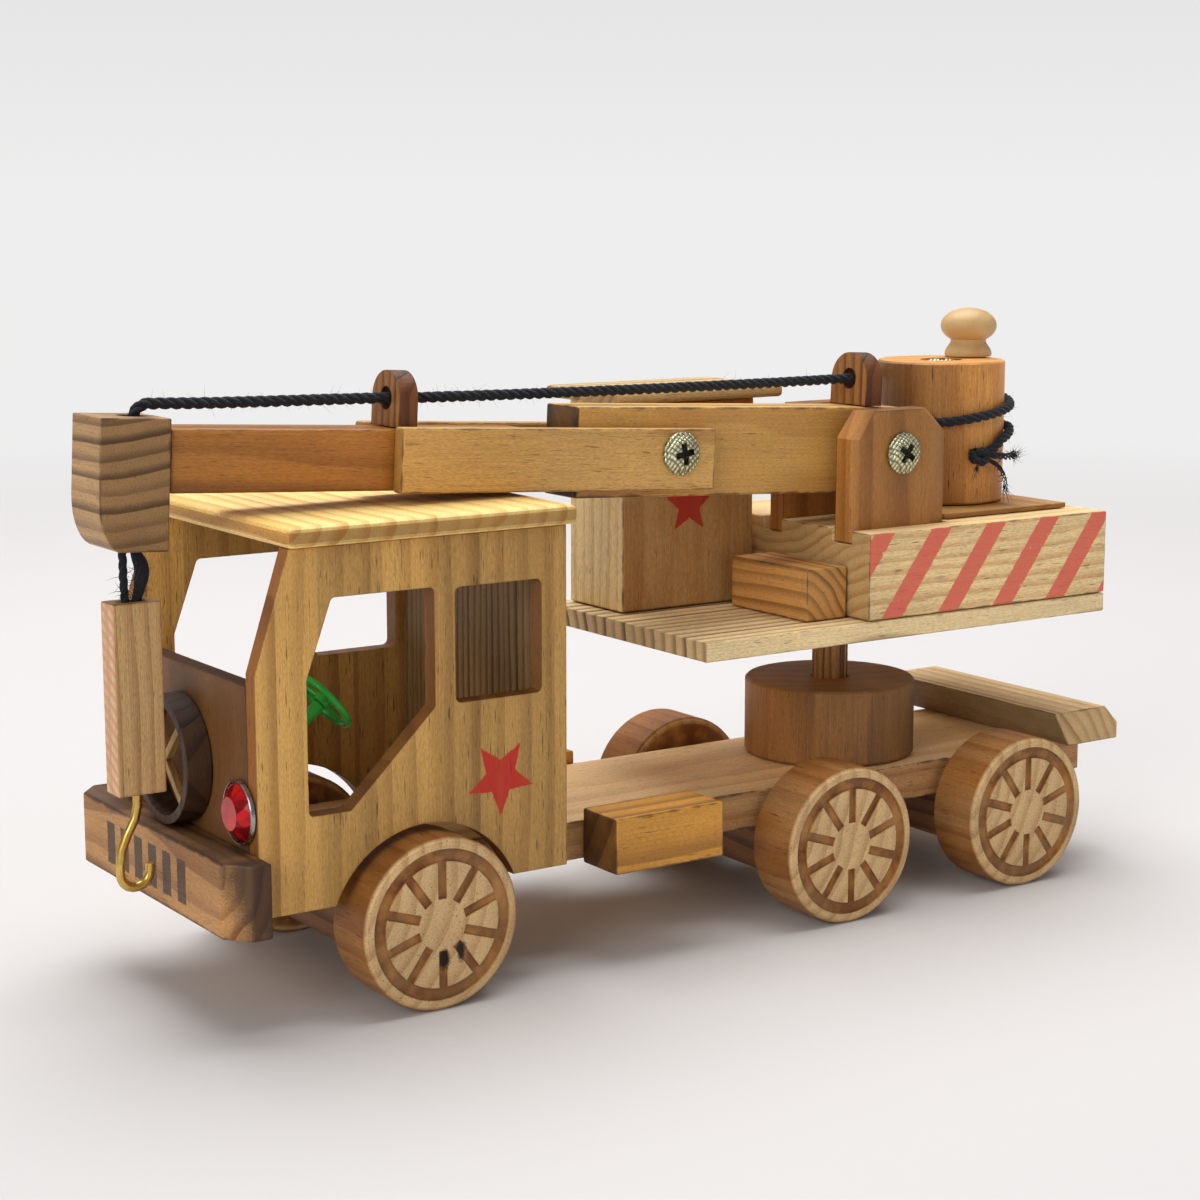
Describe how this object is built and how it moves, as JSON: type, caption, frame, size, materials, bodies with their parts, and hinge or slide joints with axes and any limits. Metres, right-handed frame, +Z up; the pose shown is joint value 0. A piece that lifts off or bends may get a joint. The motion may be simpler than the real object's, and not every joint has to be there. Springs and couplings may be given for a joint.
{
  "type": "toy crane truck",
  "caption": "Wooden toy mobile crane: flatbed truck with open cab, slewing platform, folding jib, cord winch turned by a knob, and a hanging block with a metal hook",
  "frame": {"origin": "on the ground, under the middle of the toy's bounding box", "axes": "+Z is up, -X is the way the truck faces, -Y is the truck's left side; the toy is longest along X"},
  "size_m": [0.2891, 0.0874, 0.1509],
  "materials": {
    "chassis_board": "oiled softwood with open grain",
    "front_axle_block": "oiled softwood with open grain",
    "middle_axle_block": "oiled softwood with open grain",
    "rear_axle_block": "oiled softwood with open grain",
    "front_bumper": "oiled softwood with open grain",
    "fuel_tank_left": "oiled softwood with open grain",
    "fuel_tank_right": "oiled softwood with open grain",
    "tail_block": "oiled softwood with open grain",
    "cab_side_left": "oiled softwood with open grain",
    "cab_side_right": "oiled softwood with open grain",
    "cab_front_panel": "oiled softwood with open grain",
    "cab_back_panel": "oiled softwood with open grain",
    "cab_roof": "oiled softwood with open grain",
    "grille_ring": "oiled softwood with open grain",
    "grille_bars": "oiled softwood with open grain",
    "headlamp_left": "faceted red plastic gem",
    "headlamp_right": "faceted red plastic gem",
    "steering_column": "moulded green plastic",
    "turntable_drum": "oiled softwood with open grain",
    "front_axle": "oiled softwood with open grain",
    "front_wheel_left": "turned beech, stained carving",
    "front_wheel_right": "turned beech, stained carving",
    "middle_axle": "oiled softwood with open grain",
    "middle_wheel_left": "turned beech, stained carving",
    "middle_wheel_right": "turned beech, stained carving",
    "rear_axle": "oiled softwood with open grain",
    "rear_wheel_left": "turned beech, stained carving",
    "rear_wheel_right": "turned beech, stained carving",
    "steering_wheel": "moulded green plastic",
    "turntable_post": "oiled softwood with open grain",
    "platform": "oiled softwood with open grain",
    "operator_cab": "oiled softwood with open grain",
    "operator_cab_roof": "oiled softwood with open grain",
    "step_block": "oiled softwood with open grain",
    "counterweight": "oiled softwood with open grain",
    "winch_plate": "oiled softwood with open grain",
    "winch_screw": "yellow zinc plate",
    "bracket_cheek_left": "oiled softwood with open grain",
    "bracket_cheek_right": "oiled softwood with open grain",
    "bracket_screw_left": "yellow zinc plate",
    "bracket_screw_right": "yellow zinc plate",
    "winch_drum": "oiled softwood with open grain",
    "winch_knob": "oiled softwood with open grain",
    "string_winding": "twisted dark cord",
    "main_boom": "oiled softwood with open grain",
    "rear_eyelet": "fine-grained hardwood, stained",
    "jib_screw_left": "yellow zinc plate",
    "jib_screw_right": "yellow zinc plate",
    "string_to_winch": "twisted dark cord",
    "string_between_eyelets": "twisted dark cord",
    "jib_cheek_left": "oiled softwood with open grain",
    "jib_cheek_right": "oiled softwood with open grain",
    "jib_stick": "fine-grained hardwood, stained",
    "front_eyelet": "fine-grained hardwood, stained",
    "tip_block": "oiled softwood with open grain",
    "string_to_tip": "twisted dark cord",
    "string_falls": "twisted dark cord",
    "hook_block": "oiled softwood with open grain",
    "hook": "bright bent wire"
  },
  "bodies": {
    "truck": {"chassis_board": "chassis_board", "front_axle_block": "front_axle_block", "middle_axle_block": "middle_axle_block", "rear_axle_block": "rear_axle_block", "front_bumper": "front_bumper", "fuel_tank_left": "fuel_tank_left", "fuel_tank_right": "fuel_tank_right", "tail_block": "tail_block", "cab_side_left": "cab_side_left", "cab_side_right": "cab_side_right", "cab_front_panel": "cab_front_panel", "cab_back_panel": "cab_back_panel", "cab_roof": "cab_roof", "grille_ring": "grille_ring", "grille_bars": "grille_bars", "headlamp_left": "headlamp_left", "headlamp_right": "headlamp_right", "steering_column": "steering_column", "turntable_drum": "turntable_drum"},
    "front_wheels": {"front_axle": "front_axle", "front_wheel_left": "front_wheel_left", "front_wheel_right": "front_wheel_right"},
    "middle_wheels": {"middle_axle": "middle_axle", "middle_wheel_left": "middle_wheel_left", "middle_wheel_right": "middle_wheel_right"},
    "rear_wheels": {"rear_axle": "rear_axle", "rear_wheel_left": "rear_wheel_left", "rear_wheel_right": "rear_wheel_right"},
    "steering": {"steering_wheel": "steering_wheel"},
    "superstructure": {"turntable_post": "turntable_post", "platform": "platform", "operator_cab": "operator_cab", "operator_cab_roof": "operator_cab_roof", "step_block": "step_block", "counterweight": "counterweight", "winch_plate": "winch_plate", "winch_screw": "winch_screw", "bracket_cheek_left": "bracket_cheek_left", "bracket_cheek_right": "bracket_cheek_right", "bracket_screw_left": "bracket_screw_left", "bracket_screw_right": "bracket_screw_right"},
    "winch": {"winch_drum": "winch_drum", "winch_knob": "winch_knob", "string_winding": "string_winding"},
    "boom": {"main_boom": "main_boom", "rear_eyelet": "rear_eyelet", "jib_screw_left": "jib_screw_left", "jib_screw_right": "jib_screw_right", "string_to_winch": "string_to_winch", "string_between_eyelets": "string_between_eyelets"},
    "jib": {"jib_cheek_left": "jib_cheek_left", "jib_cheek_right": "jib_cheek_right", "jib_stick": "jib_stick", "front_eyelet": "front_eyelet", "tip_block": "tip_block", "string_to_tip": "string_to_tip"},
    "falls": {"string_falls": "string_falls"},
    "hook": {"hook_block": "hook_block", "hook": "hook"}
  },
  "joints": [
    {"name": "front_axle_roll", "type": "hinge", "parent": "truck", "child": "front_wheels", "pos_m": [-0.077, 0, 0.02], "axis": [0, 1, 0], "continuous": true},
    {"name": "middle_axle_roll", "type": "hinge", "parent": "truck", "child": "middle_wheels", "pos_m": [0.0421, 0, 0.02], "axis": [0, 1, 0], "continuous": true},
    {"name": "rear_axle_roll", "type": "hinge", "parent": "truck", "child": "rear_wheels", "pos_m": [0.1025, 0, 0.02], "axis": [0, 1, 0], "continuous": true},
    {"name": "steering_turn", "type": "hinge", "parent": "truck", "child": "steering", "pos_m": [-0.0908, -0.014, 0.0679], "axis": [0.7771, 0, 0.6293], "continuous": true},
    {"name": "slew", "type": "hinge", "parent": "truck", "child": "superstructure", "pos_m": [0.0698, 0, 0.0619], "axis": [0, 0, 1], "continuous": true},
    {"name": "winch_turn", "type": "hinge", "parent": "superstructure", "child": "winch", "pos_m": [0.1075, 0, 0.1], "axis": [0, 0, 1], "range_deg": [-40, 120]},
    {"name": "boom_luff", "type": "hinge", "parent": "superstructure", "child": "boom", "pos_m": [0.0692, -0.0105, 0.1163], "axis": [0, 1, 0], "range_deg": [0, 45], "deforming": ["string_to_winch"]},
    {"name": "jib_fold", "type": "hinge", "parent": "boom", "child": "jib", "pos_m": [0.00358, -0.0105, 0.11951], "axis": [0, 1, 0], "range_deg": [0, 60], "deforming": ["string_between_eyelets"]},
    {"name": "hook_swing", "type": "hinge", "parent": "jib", "child": "falls", "pos_m": [-0.13518, -0.0105, 0.10613], "axis": [0, 1, 0], "range_deg": [-2, 50]},
    {"name": "hook_lift", "type": "slide", "parent": "falls", "child": "hook", "axis": [0, 0, 1], "range_m": [-0.0198, 0.0066], "deforming": ["string_falls"]}
  ],
  "couplings": [
    {"joint": "hook_lift", "follows": "winch_turn", "m_per_rad": -0.0094}
  ]
}
